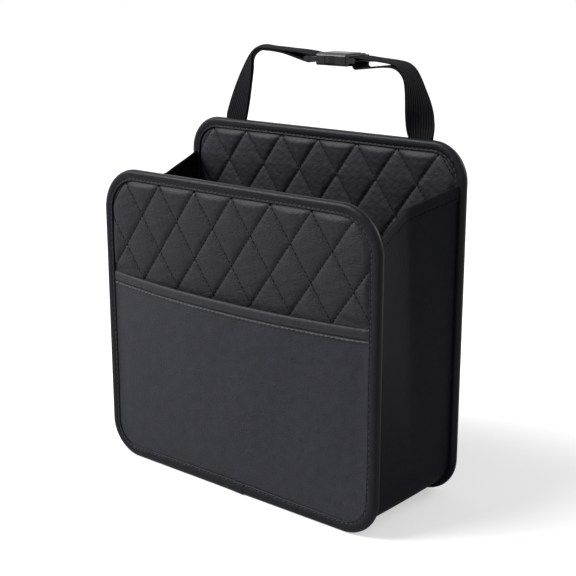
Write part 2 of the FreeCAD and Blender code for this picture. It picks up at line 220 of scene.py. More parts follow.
def stitches(points, normals, pitch=STITCH_PITCH, long=STITCH_LONG, radius=STITCH_R):
    """A row of sewn thread: one short rounded stitch at each pitch along a line."""
    pts = np.asarray(points, float)
    at = run_length(pts)
    count = int(at[-1] / pitch)
    if count < 1:
        return [], []

    def sample(values, places):
        return np.stack([np.interp(places, at, values[:, k]) for k in range(3)], 1)

    centre = (np.arange(count) + 0.5) * at[-1] / count
    pos = sample(pts, centre)
    t = unit(sample(pts, centre + TANGENT_SPAN) - sample(pts, centre - TANGENT_SPAN))
    n = sample(np.asarray(normals, float), centre)
    n = unit(n - t * np.sum(n * t, 1)[:, None])
    w = np.cross(n, t)
    rng = np.random.default_rng(count)
    pos += w * rng.uniform(-STITCH_DRIFT, STITCH_DRIFT, count)[:, None]
    reach = rng.uniform(*STITCH_REACH, count)
    ring, last = STITCH_SIDES, len(STITCH_ALONG) - 1
    verts, faces = [], []
    for k in range(count):
        base = len(verts)
        for a, g, h in zip(STITCH_ALONG * long, STITCH_GIRTH * radius, STITCH_DIP * radius):
            spot = pos[k] + t[k] * a * reach[k]
            for q in range(ring):
                c = 2 * math.pi * q / ring
                verts.append(spot + w[k] * g * math.cos(c) + n[k] * (h + g * math.sin(c)))
        for i in range(last):
            for q in range(ring):
                p = base + i * ring + q
                r = base + i * ring + (q + 1) % ring
                faces.append((p, r, r + ring, p + ring))
        faces.append(tuple(base + q for q in range(ring))[::-1])
        faces.append(tuple(base + last * ring + q for q in range(ring)))
    return verts, faces


def thread_object(name, runs, material):
    verts, faces = [], []
    for points, normals, kwargs in runs:
        v, f = stitches(points, normals, **kwargs)
        faces += [tuple(i + len(verts) for i in face) for face in f]
        verts += v
    obj = mesh_object(name, verts, faces, material)
    return obj


# Materials

def new_material(name):
    mat = bpy.data.materials.new(name)
    mat.use_nodes = True
    tree = mat.node_tree
    return mat, tree, tree.nodes["Principled BSDF"]


def add(tree, kind, **values):
    node = tree.nodes.new(kind)
    for key, value in values.items():
        if key in node.inputs:
            node.inputs[key].default_value = value
        else:
            setattr(node, key, value)
    return node


def tint(colour, gain):
    return (colour[0] * gain, colour[1] * gain, colour[2] * gain, 1.0)


def colour_noise(tree, bsdf, coord, colour, scale, low, high):
    noise = add(tree, "ShaderNodeTexNoise", Scale=scale, Detail=5.0, Roughness=0.6)
    ramp = tree.nodes.new("ShaderNodeValToRGB")
    ramp.color_ramp.elements[0].position = 0.3
    ramp.color_ramp.elements[1].position = 0.72
    ramp.color_ramp.elements[0].color = tint(colour, low)
    ramp.color_ramp.elements[1].color = tint(colour, high)
    tree.links.new(coord, noise.inputs["Vector"])
    tree.links.new(noise.outputs["Fac"], ramp.inputs["Fac"])
    tree.links.new(ramp.outputs["Color"], bsdf.inputs["Base Color"])
    return noise


def rough_range(tree, bsdf, source, low, high):
    spread = add(tree, "ShaderNodeMapRange")
    spread.inputs["To Min"].default_value = low
    spread.inputs["To Max"].default_value = high
    tree.links.new(source, spread.inputs["Value"])
    tree.links.new(spread.outputs["Result"], bsdf.inputs["Roughness"])


def link_bump(tree, bsdf, height, strength, distance):
    bump = add(tree, "ShaderNodeBump", Strength=strength, Distance=distance)
    tree.links.new(height, bump.inputs["Height"])
    tree.links.new(bump.outputs["Normal"], bsdf.inputs["Normal"])


def weighted_sum(tree, first, weight, second):
    """First times weight, plus second."""
    node = add(tree, "ShaderNodeMath", operation="MULTIPLY_ADD")
    node.inputs[1].default_value = weight
    tree.links.new(first, node.inputs[0])
    tree.links.new(second, node.inputs[2])
    return node.outputs["Value"]


GRAIN_DEPTH = 0.0004
CREASE_SCALE = 0.55
CREASE_SHARE = 0.8
WRINKLE_SCALE = 430.0
WRINKLE_SQUASH = (0.35, 0.35, 1.0)


def leather(name, colour, gloss, grain=820.0, low=0.42, high=0.60, relief=0.4, wrinkle=0.0):
    """Pebbled coated leather: cells of grain with finer creasing, and long wrinkles if asked."""
    mat, tree, bsdf = new_material(name)
    coord = add(tree, "ShaderNodeTexCoord").outputs["Object"]
    noise = colour_noise(tree, bsdf, coord, colour, 160.0, 0.84, 1.16)
    rough_range(tree, bsdf, noise.outputs["Fac"], low, high)
    cells = add(tree, "ShaderNodeTexVoronoi", Scale=grain, feature="SMOOTH_F1")
    cells.inputs["Smoothness"].default_value = 0.35
    crease = add(tree, "ShaderNodeTexNoise", Scale=grain * CREASE_SCALE, Detail=4.0)
    tree.links.new(coord, cells.inputs["Vector"])
    tree.links.new(coord, crease.inputs["Vector"])
    height = weighted_sum(tree, crease.outputs["Fac"], CREASE_SHARE, cells.outputs["Distance"])
    if wrinkle:
        squash = add(tree, "ShaderNodeMapping")
        squash.inputs["Scale"].default_value = WRINKLE_SQUASH
        lines = add(tree, "ShaderNodeTexNoise", Scale=WRINKLE_SCALE, Detail=3.0)
        tree.links.new(coord, squash.inputs["Vector"])
        tree.links.new(squash.outputs["Vector"], lines.inputs["Vector"])
        height = weighted_sum(tree, lines.outputs["Fac"], wrinkle, height)
    link_bump(tree, bsdf, height, relief, GRAIN_DEPTH)
    bsdf.inputs["Specular IOR Level"].default_value = gloss
    return mat


def cloth(name, colour, pitch, depth=0.0003, rough=(0.75, 0.92)):
    """Plain weave from two crossed sets of fine bands."""
    mat, tree, bsdf = new_material(name)
    coord = add(tree, "ShaderNodeTexCoord").outputs["Object"]
    noise = colour_noise(tree, bsdf, coord, colour, 300.0, 0.75, 1.25)
    rough_range(tree, bsdf, noise.outputs["Fac"], *rough)
    bands = []
    for way in ("X", "Z"):
        wave = add(tree, "ShaderNodeTexWave", Scale=pitch, bands_direction=way)
        tree.links.new(coord, wave.inputs["Vector"])
        bands.append(wave.outputs["Fac"])
    both = add(tree, "ShaderNodeMath", operation="MAXIMUM")
    tree.links.new(bands[0], both.inputs[0])
    tree.links.new(bands[1], both.inputs[1])
    link_bump(tree, bsdf, both.outputs["Value"], 0.6, depth)
    return mat


def webbing(name, colour):
    """Ribbed strap weave: bands along and across the webbing's own length."""
    mat, tree, bsdf = new_material(name)
    uv = add(tree, "ShaderNodeTexCoord").outputs["UV"]
    obj = add(tree, "ShaderNodeTexCoord").outputs["Object"]
    noise = colour_noise(tree, bsdf, obj, colour, 420.0, 0.7, 1.45)
    rough_range(tree, bsdf, noise.outputs["Fac"], 0.55, 0.8)
    ribs = add(tree, "ShaderNodeTexWave", Scale=1.57, bands_direction="X")
    picks = add(tree, "ShaderNodeTexWave", Scale=5.5, bands_direction="Y")
    for wave in (ribs, picks):
        tree.links.new(uv, wave.inputs["Vector"])
    weave = weighted_sum(tree, picks.outputs["Fac"], 0.5, ribs.outputs["Fac"])
    shade = add(tree, "ShaderNodeMixRGB", blend_type="MULTIPLY", Fac=0.6)
    base = bsdf.inputs["Base Color"]
    tree.links.new(base.links[0].from_socket, shade.inputs["Color1"])
    tree.links.new(ribs.outputs["Color"], shade.inputs["Color2"])
    tree.links.new(shade.outputs["Color"], base)
    link_bump(tree, bsdf, weave, 0.8, 0.0006)
    return mat


def plastic(name, colour, low, high):
    mat, tree, bsdf = new_material(name)
    coord = add(tree, "ShaderNodeTexCoord").outputs["Object"]
    noise = colour_noise(tree, bsdf, coord, colour, 500.0, 0.85, 1.2)
    rough_range(tree, bsdf, noise.outputs["Fac"], low, high)
    fine = add(tree, "ShaderNodeTexNoise", Scale=2600.0, Detail=2.0)
    tree.links.new(coord, fine.inputs["Vector"])
    link_bump(tree, bsdf, fine.outputs["Fac"], 0.25, 0.0001)
    return mat


CHARCOAL = (0.0204, 0.0210, 0.0265)
QUILT = (0.0150, 0.0154, 0.0196)
# Gusset colour, partly painted shade: darker than the pocket leather to stand in for the shadow the gusset
# lies in
GUSSET_PAINTED_SHADE = (0.0090, 0.0095, 0.0128)
EDGE = (0.0084, 0.0088, 0.0118)
PANEL_LEATHER = leather("quilted_leather", QUILT, gloss=0.15, relief=0.6, wrinkle=1.0)
BACK_LEATHER = leather("back_quilt_leather", QUILT, gloss=0.15, relief=0.35, wrinkle=0.6)
POCKET_LEATHER = leather("pocket_leather", CHARCOAL, gloss=0.15, relief=0.5)
BIND_LEATHER = leather("binding_leather", EDGE, grain=1000.0, low=0.30, high=0.42, gloss=0.10, relief=0.22)
# The gusset sheet and its hems use this darkened colour and a low gloss, partly as painted shade for the
# gusset's shadowed side
GUSSET_SHADED_LEATHER = leather("gusset_leather_painted_shade", GUSSET_PAINTED_SHADE, low=0.40, high=0.55, gloss=0.03, relief=0.3)
COVER_LEATHER = leather("cover_leather", CHARCOAL, gloss=0.12)
LINING = cloth("lining_cloth", (0.010, 0.010, 0.012), 420.0)
BOARD = plastic("board_sheet", (0.07, 0.07, 0.075), 0.5, 0.65)
BASE_CLOTH = cloth("base_cloth", (0.012, 0.012, 0.014), 420.0)
WEB = webbing("strap_webbing", (0.0140, 0.0141, 0.0160))
BUCKLE = plastic("buckle_plastic", (0.0060, 0.0060, 0.0072), 0.22, 0.36)
# These two thread colours are lighter than the dark thread partly as painted highlight: they stand in for
# glints on the stitches and the lit ridge beside the pocket's hem line
THREAD = cloth("sewing_thread", (0.066, 0.067, 0.077), 2200.0, 0.0001, (0.45, 0.6))
EDGE_THREAD = cloth("edge_thread", (0.034, 0.0345, 0.041), 2200.0, 0.0001, (0.45, 0.6))
SEAM_THREAD = cloth("quilting_thread", (0.0016, 0.0016, 0.0020), 2200.0, 0.0001, (0.6, 0.75))
GLOSS = ((LINING, 0.08), (BASE_CLOTH, 0.08), (WEB, 0.06), (BUCKLE, 0.30),
         (THREAD, 0.2), (EDGE_THREAD, 0.15), (SEAM_THREAD, 0.05))
for stuff, level in GLOSS:
    stuff.node_tree.nodes["Principled BSDF"].inputs["Specular IOR Level"].default_value = level


# Quilted panels

SEAM_PITCH = DIAMOND_WIDE * DIAMOND_TALL / math.hypot(DIAMOND_WIDE, DIAMOND_TALL)
SEAM_HALF = 1.5
SEAM_STITCH = {"pitch": 3.6, "long": 3.1, "radius": 0.45}
GROOVE_SHARE = 0.45
BULGE_EASE = 14.0
QUILT_SINK = 0.35
EDGE_PUFF = 0.25
EDGE_DIP = 0.7
EDGE_DIP_WIDE = 1.3
CREASE_HIGH = 0.10
CREASE_SIZE = 7.0


def seam_gap(turns):
    """Distance in mm to the nearest seam line of one direction."""
    return np.abs(turns - np.round(turns)) * SEAM_PITCH


def puffs(x, z, z_row):
    """Height of the diamond pillows: a tight groove at each seam and a low dome between."""
    p = (x - QUILT_CENTRE_X) / DIAMOND_WIDE
    q = (z - z_row) / DIAMOND_TALL
    near = np.minimum(seam_gap(p + q), seam_gap(p - q))
    dome = np.abs(np.sin(math.pi * (p + q)) * np.sin(math.pi * (p - q))) ** 0.6
    groove = 1.0 - np.exp(-(near / SEAM_HALF) ** 1.2)
    return GROOVE_SHARE * groove + (1.0 - GROOVE_SHARE) * dome


def mouth_z(x):
    return MOUTH_END_Z - MOUTH_SAG * (1.0 - (x / HALF_W) ** 2)


def pocket_bulge(x, z):
    """How far the pocket sheet stands off the panel."""
    q = np.clip(x / (HALF_W - BIND_FACE), -1.0, 1.0)
    t = np.clip((z - BIND_FACE) / (MOUTH_END_Z - BIND_FACE), 0.0, 1.0)
    edge = -edge_distance(x, z, FRONT_H, FRONT_TOP_R, BIND_FACE)
    return POCKET_BULGE * (1.0 - q ** 2) * np.sin(t * math.pi / 2) * smoothstep(0.0, BULGE_EASE, edge)


def quilt_face(x, z, edge, y_face, z_row, room, seed):
    """Depth of a quilted face: pillows that flatten at the bound edge, creases and a dip along it."""
    near_edge = EDGE_PUFF + (1.0 - EDGE_PUFF) * smoothstep(-0.5, 5.0, edge)
    rise = PUFF * puffs(x, z, z_row) * near_edge * room
    crease = CREASE_HIGH * ripple(x, z, CREASE_SIZE, seed) * smoothstep(0.0, 4.0, edge)
    return y_face + QUILT_SINK - rise + crease + EDGE_DIP * np.exp(-(edge / EDGE_DIP_WIDE) ** 2)


def front_face_y(x, z):
    """Depth of the front panel's face: quilted above the pocket, plain behind it."""
    edge = -edge_distance(x, z, FRONT_H, FRONT_TOP_R, BIND_FACE)
    above = z - mouth_z(x)
    stand_off = np.clip(pocket_bulge(x, mouth_z(x)) / 4.0, 0.0, 1.0)
    room = np.maximum(smoothstep(0.0, 9.0, above), stand_off * smoothstep(-10.0, -2.0, above))
    quilted = quilt_face(x, z, edge, Y_SLOT, FRONT_ROW_Z, room, 11)
    return Y_PLAIN + (quilted - Y_PLAIN) * smoothstep(-12.0, -3.0, above)


def back_face_y(x, z):
    edge = -edge_distance(x, z, BACK_H, CORNER_R, BIND_FACE)
    return quilt_face(x, z, edge, Y_BACK - CORE_HALF, BACK_ROW_Z, 1.0, 12)


def flat_backed(name, front, keep, y_rear, material):
    """Closed pad: a modelled front, walls round its outline and one flat rear face."""
    m = front.shape[1]
    corners = [i * m + j for i, j in np.argwhere(keep).tolist()]
    faces = [(a, a + 1, a + m + 1, a + m) for a in corners]
    obj = mesh_object(name, front.reshape(-1, 3), faces, material)
    work = bmesh.new()
    work.from_mesh(obj.data)
    rim = [e for e in work.edges if e.is_boundary]
    walls = bmesh.ops.extrude_edge_only(work, edges=rim)["geom"]
    for v in walls:
        if isinstance(v, bmesh.types.BMVert):
            v.co.y = y_rear * MM
    bmesh.ops.holes_fill(work, edges=[e for e in work.edges if e.is_boundary], sides=0)
    bmesh.ops.recalc_face_normals(work, faces=work.faces)
    work.to_mesh(obj.data)
    work.free()
    obj.data.polygons.foreach_set("use_smooth", [len(p.vertices) < 5 for p in obj.data.polygons])
    return obj


def quilted_panel(name, height, r_top, face_y, y_rear, z_dense, material):
    """Pad with a modelled face, on a grid that is coarser below z_dense."""
    fine = 0.85
    coarse = np.arange(2.0, z_dense, 2.4 * fine)
    dense = np.arange(z_dense, height - 1.0, fine)
    xs = np.arange(-HALF_W + SHEET_IN, HALF_W - SHEET_IN + 0.1, fine)
    x, z = np.meshgrid(xs, np.concatenate([coarse, dense]))
    keep = all_corners(edge_distance(x, z, height, r_top, RIM_IN) < 0)
    return flat_backed(name, np.stack([x, face_y(x, z), z], -1), keep, y_rear, material)


def seam_runs(z_row, z_low, z_high, height, r_top, face_y):
    """Stitch lines along both quilting directions, inside the bound edge."""
    runs = []
    for sign in (1, -1):
        for k in range(-14, 15):
            t = np.linspace(-12, 12, 1600)
            x = QUILT_CENTRE_X + DIAMOND_WIDE * (k + t) / 2
            z = z_row + sign * DIAMOND_TALL * (t - k) / 2
            inside = edge_distance(x, z, height, r_top, STITCH_IN + 1.0) < 0
            inside &= (z > z_low(x)) & (z < z_high)
            if inside.sum() < 12:
                continue
            x, z = x[inside], z[inside]
            points = np.stack([x, face_y(x, z) - 0.15, z], 1)
            normals = np.tile([0.0, -1.0, 0.0], (len(x), 1))
            runs.append((points, normals, SEAM_STITCH))
    return runs


BACK_REAR = Y_BACK - CORE_HALF + POCKET_SHEET + QUILT_BASE
front_quilt = quilted_panel(
    "front_quilt", FRONT_H, FRONT_TOP_R, front_face_y,
    Y_PLAIN + QUILT_BASE, MOUTH_END_Z - 22.0, PANEL_LEATHER)
back_quilt = quilted_panel(
    "back_quilt", BACK_H, CORNER_R, back_face_y, BACK_REAR, MOUTH_END_Z, BACK_LEATHER)
front_lines = seam_runs(
    FRONT_ROW_Z, lambda x: mouth_z(x) - 1.0, FRONT_H, FRONT_H, FRONT_TOP_R, front_face_y)
back_lines = seam_runs(BACK_ROW_Z, lambda x: 0.0, BACK_H, BACK_H, CORNER_R, back_face_y)
front_seams = thread_object("front_quilt_thread", front_lines, SEAM_THREAD)
back_seams = thread_object("back_quilt_thread", back_lines, SEAM_THREAD)


# Bound edges

def outline(height, r_top, step):
    """Points round the panel edge from the bottom middle, with inward normals."""
    a = HALF_W
    spots = [
        ("line", (0, 0), (a - CORNER_R, 0)),
        ("arc", (a - CORNER_R, CORNER_R), CORNER_R, -90),
        ("line", (a, CORNER_R), (a, height - r_top)),
        ("arc", (a - r_top, height - r_top), r_top, 0),
        ("line", (a - r_top, height), (-a + r_top, height)),
        ("arc", (-a + r_top, height - r_top), r_top, 90),
        ("line", (-a, height - r_top), (-a, CORNER_R)),
        ("arc", (-a + CORNER_R, CORNER_R), CORNER_R, 180),
        ("line", (-a + CORNER_R, 0), (0, 0)),
    ]
    points, normals = [], []
    for spot in spots:
        if spot[0] == "line":
            p, q = np.array(spot[1], float), np.array(spot[2], float)
            way = (q - p) / np.linalg.norm(q - p)
            inward = np.array([-way[1], way[0]])
            count = max(2, int(np.linalg.norm(q - p) / step))
            for k in range(count):
                points.append(p + (q - p) * k / count)
                normals.append(inward)
        else:
            centre, r, start = np.array(spot[1], float), spot[2], spot[3]
            count = max(8, int(r * math.pi / 2 / step))
            for k in range(count):
                c = math.radians(start + 90.0 * k / count)
                out = np.array([math.cos(c), math.sin(c)])
                points.append(centre + out * r)
                normals.append(-out)
    return np.array(points), np.array(normals)


FLAP = [(8.95, 2.55), (8.9, 2.95), (8.45, 3.38), (7.9, 3.32), (7.3, 2.82), (6.7, 3.2), (5.6, 3.58),
        (4.2, 3.70), (2.8, 3.66), (1.7, 3.35), (0.8, 2.6), (0.25, 1.4), (0.02, 0.0)]
LAP_X = 12.0
LAP_LONG = 20.0
LAP_HIGH = 0.6
LAP_OUT = 0.4
BIND_STEP = 1.0
FOOT_HALF = 100.0
FOOT_WIDER = 1.6
FOOT_THICKER = 0.12
WIDTH_WANDER = 0.35
WALL_WANDER = 0.0096
PUCKER = 0.30
STITCH_RISE = 2.95


def binding(name, height, r_top, y_mid, lap, seed):
    """Rolled leather edge with a stitched inner line and, on the front, a lapped end."""
    pts, nor = outline(height, r_top, BIND_STEP)
    arc = run_length(pts)
    at_foot = pts[:, 1] < 1.0
    foot = at_foot * (1 - np.clip(np.abs(pts[:, 0]) / FOOT_HALF, 0, 1)) ** 0.7
    wide = WIDTH_WANDER * ripple(arc, 0.0, 90.0, seed + 1) + FOOT_WIDER * foot
    thick = 1.0 + FOOT_THICKER * foot
    wall = thick + WALL_WANDER * ripple(arc, 0.0, 46.0, seed)
    pucker = PUCKER * (2 * nor[:, 0] * nor[:, 1]) ** 2 * ripple(arc, 0.0, 4.6, seed + 2)
    lapped = np.zeros(len(pts))
    if lap:
        along = pts[:, 0] - LAP_X + LAP_LONG
        on = at_foot & (pts[:, 0] < LAP_X) & (pts[:, 0] > LAP_X - LAP_LONG)
        lapped = on * LAP_HIGH * np.clip(along / LAP_LONG, 0, 1)
    profile = [(d, -y) for d, y in FLAP] + [(d, y) for d, y in FLAP[-2::-1]]
    inner = [(LEATHER + 0.1, CORE_HALF), (LEATHER + 0.1, -CORE_HALF)]
    rings = []
    for k, (spot, inward) in enumerate(zip(pts, nor)):
        ring = []
        for d, y in profile:
            reach = smoothstep(3.0, 8.0, d)
            p = spot + inward * (d + wide[k] * reach - lapped[k] * (1 - reach) * LAP_OUT)
            fold = pucker[k] * smoothstep(2.0, 4.5, d) * (1 - 0.6 * smoothstep(7.0, 9.0, d))
            lift = lapped[k] * min(1.0, abs(y) / 2.5) + fold
            ring.append((p[0], y_mid + (y + math.copysign(lift, y)) * wall[k], max(0.0, p[1])))
        for d, y in inner:
            p = spot + inward * d
            ring.append((p[0], y_mid + y, p[1]))
        rings.append(ring)
    obj = ring_mesh(name, rings, BIND_LEATHER, True)
    line = [spot + inward * (STITCH_IN + w) for spot, inward, w in zip(pts, nor, wide)]
    line.append(line[0])
    rise = np.append(STITCH_RISE * thick + lapped, STITCH_RISE * thick[0])
    runs = []
    for side in (-1, 1):
        points = np.array([(x, y_mid + side * r, z) for (x, z), r in zip(line, rise)])
        runs.append((points, np.tile([0.0, side, 0.0], (len(points), 1)), {}))
    thread = thread_object(name + "_thread", runs, EDGE_THREAD)
    return obj, thread


front_edge, front_edge_thread = binding("front_edge", FRONT_H, FRONT_TOP_R, Y_FRONT, True, 3)
back_edge, back_edge_thread = binding("back_edge", BACK_H, CORNER_R, Y_BACK, False, 5)


# Front pocket

POCKET_FOOT = 3.0
# Lines along the pocket's mouth: depth below it, height and width
HEM_GROOVE = (HEM_TALL - 0.6, -0.85, 0.8)
HEM_RIDGE = (HEM_TALL + 1.3, 0.65, 0.9)
HEM_FULL = (2.6, 0.55, 2.6)
MOUTH_ROLL = 0.9


def pocket():
    """Plain pocket sheet with its slack, a folded hem at its mouth and the hem's stitch line."""
    xs = np.linspace(-HALF_W + SHEET_IN, HALF_W - SHEET_IN, 150)
    rows = np.concatenate([np.linspace(0, 0.92, 70), np.linspace(0.923, 1.0, 40)])
    x, v = np.meshgrid(xs, rows)
    z = POCKET_FOOT + v * (mouth_z(x) - POCKET_FOOT)
    below = mouth_z(x) - z
    free = smoothstep(0.0, 30.0, -edge_distance(x, z, FRONT_H, FRONT_TOP_R, BIND_FACE))
    slack = 0.35 * free * ripple(x, z, 85.0, 21) + 0.10 * free * ripple(x, z, 16.0, 22)
    bulge = pocket_bulge(x, z) + slack
    hem = HEM_EXTRA * smoothstep(HEM_TALL + 0.2, HEM_TALL - 0.8, below)
    for place, high, wide in (HEM_GROOVE, HEM_RIDGE, HEM_FULL):
        hem = hem + high * np.exp(-((below - place) / wide) ** 2)
    inside = smoothstep(0.0, 2.5, -edge_distance(x, z, FRONT_H, FRONT_TOP_R, BIND_FACE - 0.5))
    from_lip = 1 - np.clip(below / 2.0, 0, 1)
    roll = MOUTH_ROLL * (1 - np.sqrt(np.clip(1 - from_lip ** 2, 0, 1)))
    out = np.stack([x, Y_SLOT - bulge - hem * inside + roll, z], -1)
    back = np.stack([x, Y_PLAIN - bulge - roll * 0.6, z], -1)
    keep = all_corners(edge_distance(x, z, FRONT_H, FRONT_TOP_R, RIM_IN) < 0)
    obj = slab("pocket_sheet", out, back, POCKET_LEATHER, keep)
    line_x = np.linspace(-HALF_W + BIND_FACE + 1.5, HALF_W - BIND_FACE - 1.5, 300)
    line_z = mouth_z(line_x) - HEM_TALL - 0.7
    line_y = Y_SLOT - pocket_bulge(line_x, line_z) - 0.75
    points = np.stack([line_x, line_y, line_z], 1)
    normals = np.tile([0.0, -1.0, 0.0], (len(points), 1))
    return obj, thread_object("pocket_hem_thread", [(points, normals, {})], THREAD)


pocket_sheet, pocket_thread = pocket()


# Gusset

WALL_X = HALF_W - GUSSET_INSET
BEND_R = CORNER_R - GUSSET_INSET
BEND_X = HALF_W - CORNER_R
FOLD_SHARP = 0.0006
FOLD_SOFT = 0.012
BELLY = 0.72
BEND_BELLY = 0.42
TUCK = 0.3


def gusset_top(v):
    return GUSSET_TOP_FRONT + (GUSSET_TOP_BACK - GUSSET_TOP_FRONT) * v


def fold_shape(v, t):
    """Inward push across the gusset: 0 at its edges and 1 at the fold, sharp at the top."""
    soft = FOLD_SHARP + FOLD_SOFT * (1.0 - t) ** 2
    return 1.0 - np.sqrt((2 * v - 1) ** 2 + soft) / np.sqrt(1.0 + soft)


def gusset_y(v):
    return G_FRONT - TUCK + (G_BACK - G_FRONT + 2 * TUCK) * v


def side_wall(side, t, v, offset):
    """Point on one side of the gusset: t from the bottom bend to the top edge."""
    z = CORNER_R + (gusset_top(v) - CORNER_R) * t
    push = FOLD_IN * t ** 0.85 * fold_shape(v, t)
    push = push - BELLY * np.sin(math.pi * np.clip(v, 0, 1)) * (1 - t)
    wave = 0.55 * ripple(z, v * 97.0, 60.0, 31 + side)
    push = push - wave * np.sin(math.pi * v) * (0.4 + 0.6 * t)
    x = side * (WALL_X - push - offset)
    return np.stack(np.broadcast_arrays(x, gusset_y(v), z), -1)


def bend(side, angle, v, offset):
    """Point on a bottom corner of the gusset: angle from the wall to the floor."""
    r = BEND_R - offset + BEND_BELLY * np.sin(math.pi * v)
    x = side * (BEND_X + r * np.cos(angle))
    z = CORNER_R - r * np.sin(angle)
    return np.stack(np.broadcast_arrays(x, gusset_y(v), z), -1)


def gusset_grid(offset):
    v = np.linspace(0, 1, 33)[None, :]
    up = np.linspace(1, 0, 70)[:, None]
    turn = np.linspace(0, math.pi / 2, 18)[1:, None]
    flat_x = np.linspace(BEND_X, -BEND_X, 50)[1:-1]
    floor = bend(1, math.pi / 2, v, offset)
    rows = [side_wall(1, up, v, offset), bend(1, turn, v, offset)]
    flat = np.repeat(floor, len(flat_x), axis=0)
    flat[:, :, 0] = flat_x[:, None]
    rows += [flat, bend(-1, turn[::-1], v, offset), side_wall(-1, up[::-1], v, offset)]
    return np.concatenate(rows)


gusset = slab("gusset_sheet", gusset_grid(0.0), gusset_grid(GUSSET_THICK), GUSSET_SHADED_LEATHER)


HEM_STITCH_UP = 1.3


def gusset_hem(side, name):
    """Tape folded over the top edge, with its stitch line on both faces."""
    v = np.linspace(0, 1, 61)
    reach = GUSSET_TOP_FRONT - CORNER_R
    low, mid = GUSSET_HEM, -GUSSET_THICK / 2
    groove = low - HEM_STITCH_UP
    skin = [(low, 0.75), (low - 0.5, 0.85), (groove, 0.5), (low - 2.1, 0.9), (low - 4.0, 1.0),
            (1.2, 1.0), (0.3, 0.85), (-0.4, 0.4)]
    profile = [(b, HEM_SKIN * o) for b, o in skin] + [(-HEM_SKIN, mid)]
    profile += [(b, -GUSSET_THICK - HEM_SKIN * o) for b, o in reversed(skin)]
    profile += [(low, -GUSSET_THICK), (0.0, -GUSSET_THICK), (0.0, 0.0), (low, 0.0)]
    rows = []
    for below, out in profile:
        row = side_wall(side, 1.0 - below / reach, v, 0.0)
        row[:, 0] += side * out
        rows.append(row)
    obj = ring_mesh(name, np.swapaxes(np.array(rows), 0, 1), GUSSET_SHADED_LEATHER, False)
    edge = side_wall(side, 1.0, v, 0.0)
    line_v = np.linspace(0.02, 0.98, 120)
    line = side_wall(side, np.full_like(line_v, 1.0 - groove / reach), line_v, 0.0)
    runs = []
    for out, way in ((HEM_SKIN - 0.35, side), (-GUSSET_THICK - HEM_SKIN + 0.05, -side)):
        points = line.copy()
        points[:, 0] += side * out
        runs.append((points, np.tile([way, 0.0, 0.0], (len(points), 1)), {}))
    thread = thread_object(name + "_thread", runs, SEAM_THREAD)
    return obj, thread


hem_right, hem_right_thread = gusset_hem(1, "hem_right")
hem_left, hem_left_thread = gusset_hem(-1, "hem_left")


# Lining of the front panel, rear cover and base

def plain_sheet(name, height, r_top, y_in, y_out, puff, material, seed, flat_spots=()):
    """Thin sheet held in a bound edge, slightly full and rippled between its stitch lines."""
    xs = np.linspace(-HALF_W + SHEET_IN, HALF_W - SHEET_IN, 100)
    x, z = np.meshgrid(xs, np.linspace(SHEET_IN, height - SHEET_IN, 100))
    edge = -edge_distance(x, z, height, r_top, BIND_FACE)
    full = smoothstep(0.5, 26.0, edge)
    for spot_x, spot_z in flat_spots:
        beside = smoothstep(13.0, 24.0, np.abs(x - spot_x))
        full = full * np.maximum(beside, smoothstep(4.0, 16.0, spot_z - z))
    swell = full * (puff + 0.25 * ripple(x, z, 70.0, seed)) - 0.4 * np.exp(-(edge / 2.0) ** 2)
    out = np.stack([x, y_out + math.copysign(1.0, y_out - y_in) * swell, z], -1)
    back = np.stack([x, np.full_like(x, y_in), z], -1)
    keep = all_corners(edge_distance(x, z, height, r_top, RIM_IN) < 0)
    obj = slab(name, out, back, material, keep)
    return obj


def base_pad():
    """Covered board on the bag's floor, with soft edges."""
    low, high = (np.array(p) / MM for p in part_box("base_board"))
    x, y = np.meshgrid(np.linspace(low[0], high[0], 110), np.linspace(low[1], high[1], 50))
    edge = np.minimum(np.minimum(x - low[0], high[0] - x), np.minimum(y - low[1], high[1] - y))
    top = high[2] - 0.8 * np.exp(-(edge / 1.6) ** 2) + 0.12 * ripple(x, y, 45.0, 61) - 0.12
    under = np.stack([x, y, np.full_like(x, low[2])], -1)
    obj = slab("base_pad", np.stack([x, y, top], -1), under, BASE_CLOTH)
    return obj


LINING_IN = Y_FRONT + CORE_HALF - LEATHER
COVER_IN = Y_BACK + CORE_HALF - LEATHER
STRAP_OUT_LEFT = 94.0
STRAP_OUT_RIGHT = 95.0
TAIL_FOOT = BACK_H - BIND_FACE - TAIL_LONG
lining = plain_sheet("lining_sheet", FRONT_H, FRONT_TOP_R, LINING_IN, LINING_IN + LEATHER, 0.7, LINING, 51)
cover = plain_sheet("cover_sheet", BACK_H, CORNER_R, COVER_IN, COVER_IN + LEATHER, 0.6, COVER_LEATHER, 52,
                    ((-STRAP_OUT_LEFT, TAIL_FOOT), (STRAP_OUT_RIGHT, TAIL_FOOT)))
base = base_pad()


# Webbing strap halves

def spline(points, count):
    """Smooth curve through guide points, sampled evenly, with tangents."""
    p = np.array(points, float)
    d = run_length(p)
    n = len(p)
    a = np.zeros((n, n))
    rhs = np.zeros((n, 2))
    h = np.diff(d)
    a[0, 0] = a[-1, -1] = 1.0
    for k in range(1, n - 1):
        a[k, k - 1:k + 2] = h[k - 1], 2 * (h[k - 1] + h[k]), h[k]
        rhs[k] = 6 * ((p[k + 1] - p[k]) / h[k] - (p[k] - p[k - 1]) / h[k - 1])
    c = np.linalg.solve(a, rhs)
    s = np.linspace(0, d[-1], count)
    k = np.clip(np.searchsorted(d, s, side="right") - 1, 0, n - 2)
    u, w, hk = (s - d[k])[:, None], (d[k + 1] - s)[:, None], h[k][:, None]
    out = (c[k] * w ** 3 + c[k + 1] * u ** 3) / (6 * hk)
    out += (p[k] / hk - c[k] * hk / 6) * w + (p[k + 1] / hk - c[k + 1] * hk / 6) * u
    return out, unit(np.gradient(out, axis=0))


